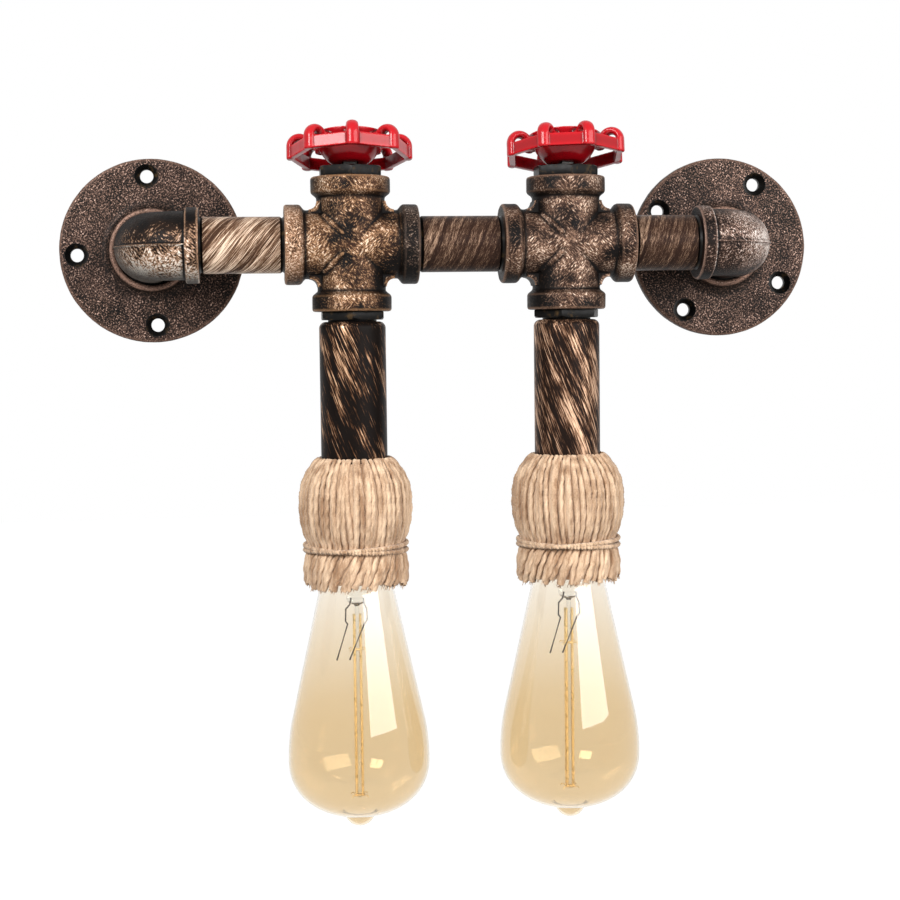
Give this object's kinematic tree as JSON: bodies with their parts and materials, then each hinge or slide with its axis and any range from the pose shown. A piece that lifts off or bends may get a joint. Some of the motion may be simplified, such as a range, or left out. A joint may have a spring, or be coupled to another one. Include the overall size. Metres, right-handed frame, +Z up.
{
  "type": "pipe wall light",
  "caption": "Industrial pipe wall light: flanged pipe frame with handwheel switches on cross fittings, and pear-shaped filament bulbs hanging in tied twine covers.",
  "frame": {"origin": "centre of the left flange's back face, on the wall, at the height of the pipe axis", "axes": "+X along the pipe to the right flange, +Y into the wall, +Z up; the light faces -Y"},
  "size_m": [0.355, 0.08, 0.3153],
  "materials": {
    "cast_bronze": "antique bronze paint on speckled castings",
    "bronze_tube": "dark paint brushed with copper and gold",
    "black_hex": "satin black",
    "red_enamel": "gloss red enamel",
    "bright_steel": "zinc plated",
    "black_moulding": "moulded phenolic",
    "steatite": "unglazed steatite",
    "brass": "drawn brass",
    "jute_twine": "natural jute twine",
    "amber_glass": "amber tinted glass",
    "clear_glass": "clear glass",
    "black_glass": "black glass with a solder contact",
    "lead_wire": "nickel wire",
    "filament": "fine wire",
    "brown_insulation": "insulated conductor",
    "blue_insulation": "insulated conductor",
    "grey_insulation": "insulated conductors"
  },
  "bodies": {
    "pipe_frame": {"flange_left": "cast_bronze", "flange_right": "cast_bronze", "elbow_left": "cast_bronze", "elbow_right": "cast_bronze", "nipple_left": "bronze_tube", "nipple_middle": "bronze_tube", "nipple_right": "bronze_tube", "cross_left": "cast_bronze", "cross_right": "cast_bronze", "drop_tube_left": "bronze_tube", "drop_tube_right": "bronze_tube", "bonnet_left": "black_hex", "bonnet_right": "black_hex", "drop_bushing_left": "black_hex", "drop_bushing_right": "black_hex", "switch_case_left": "black_moulding", "switch_case_right": "black_moulding", "lampholder_left": "black_moulding", "lampholder_right": "black_moulding", "switch_tags_left": "brass", "switch_tags_right": "brass", "holder_rod_left": "brass", "holder_rod_right": "brass", "terminal_screws_left": "brass", "terminal_screws_right": "brass", "centre_contact_left": "brass", "centre_contact_right": "brass", "screw_shell_left": "brass", "screw_shell_right": "brass", "holder_base_left": "steatite", "holder_base_right": "steatite", "twine_cover_left": "jute_twine", "twine_cover_right": "jute_twine", "tie_twine_left": "jute_twine", "tie_twine_right": "jute_twine", "drop_leads_left": "grey_insulation", "drop_leads_right": "grey_insulation", "live_lead": "brown_insulation", "neutral_lead": "blue_insulation"},
    "handwheel_left": {"handwheel_left": "red_enamel", "spindle_left": "bright_steel", "wheel_washer_left": "bright_steel", "wheel_nut_left": "bright_steel"},
    "bulb_left": {"bulb_glass_left": "amber_glass", "bulb_cap_left": "brass", "cap_contact_left": "black_glass", "glass_stem_left": "clear_glass", "bulb_leads_left": "lead_wire", "filament_left": "filament"},
    "handwheel_right": {"handwheel_right": "red_enamel", "spindle_right": "bright_steel", "wheel_washer_right": "bright_steel", "wheel_nut_right": "bright_steel"},
    "bulb_right": {"bulb_glass_right": "amber_glass", "bulb_cap_right": "brass", "cap_contact_right": "black_glass", "glass_stem_right": "clear_glass", "bulb_leads_right": "lead_wire", "filament_right": "filament"}
  },
  "joints": [
    {"name": "handwheel_turn_left", "type": "hinge", "parent": "pipe_frame", "child": "handwheel_left", "pos_m": [0.09, -0.048, 0.0343], "axis": [0, 0, 1], "continuous": true},
    {"name": "bulb_out_left", "type": "slide", "parent": "pipe_frame", "child": "bulb_left", "axis": [0, 0, -1], "range_m": [0, 0.05]},
    {"name": "handwheel_turn_right", "type": "hinge", "parent": "pipe_frame", "child": "handwheel_right", "pos_m": [0.187, -0.048, 0.0343], "axis": [0, 0, 1], "continuous": true},
    {"name": "bulb_out_right", "type": "slide", "parent": "pipe_frame", "child": "bulb_right", "axis": [0, 0, -1], "range_m": [0, 0.05]}
  ]
}
